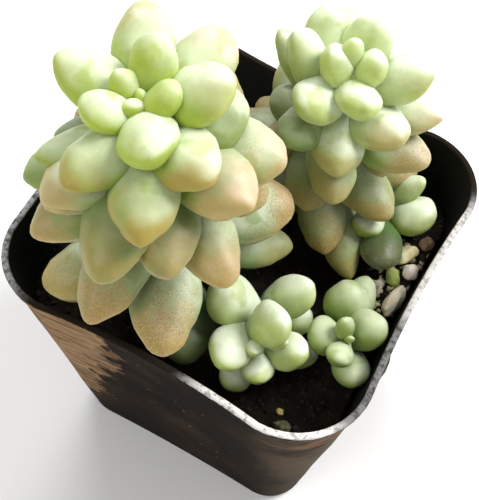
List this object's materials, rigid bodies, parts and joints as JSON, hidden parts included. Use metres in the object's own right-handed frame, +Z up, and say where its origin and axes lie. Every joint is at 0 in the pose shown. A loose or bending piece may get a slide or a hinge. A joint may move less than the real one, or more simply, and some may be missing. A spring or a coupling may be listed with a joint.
{
  "type": "potted succulent",
  "caption": "Small square tapered nursery pot with dark soil, two tall spiral-leaved succulent stems, smaller rosettes and a few loose stones.",
  "frame": {"origin": "middle of the pot's flat underside, on the surface that the pot stands on", "axes": "+Z up; +X towards the pot side with the loose stones; -Y towards the pot side under the big left stem"},
  "size_m": [0.0718, 0.0761, 0.1077],
  "materials": {
    "pot": "thin black plastic, dusty brown outside, pale scuffed lip",
    "soil": "dark moist potting soil",
    "leaf_pale": "waxy pale green leaf with bloom and peach blush",
    "leaf_green": "waxy green leaf with a light bloom",
    "stone_white": "small white stone",
    "stone_cream": "cream stone",
    "stone_pink": "pinkish white stone",
    "stone_tan": "tan stone",
    "fallen_leaf_pale": "faded fallen leaf",
    "fallen_leaf_green": "old green leaf",
    "grit_grey": "grey crumbly grit",
    "grit_yellow": "yellow crumb",
    "grain_front": "yellow grain",
    "lump_front": "grey-green lump"
  },
  "bodies": {
    "root": {"pot": "pot", "soil": "soil", "leafy_stem_left": "leaf_pale", "leafy_stem_right": "leaf_pale", "leafy_stem_front": "leaf_green", "leafy_stem_edge": "leaf_green", "stone_white": "stone_white", "stone_cream": "stone_cream", "stone_pink": "stone_pink", "stone_tan": "stone_tan", "fallen_leaf_pale": "fallen_leaf_pale", "fallen_leaf_green": "fallen_leaf_green", "grit_grey": "grit_grey", "grit_yellow": "grit_yellow", "grain_front": "grain_front", "lump_front": "lump_front"}
  },
  "joints": []
}
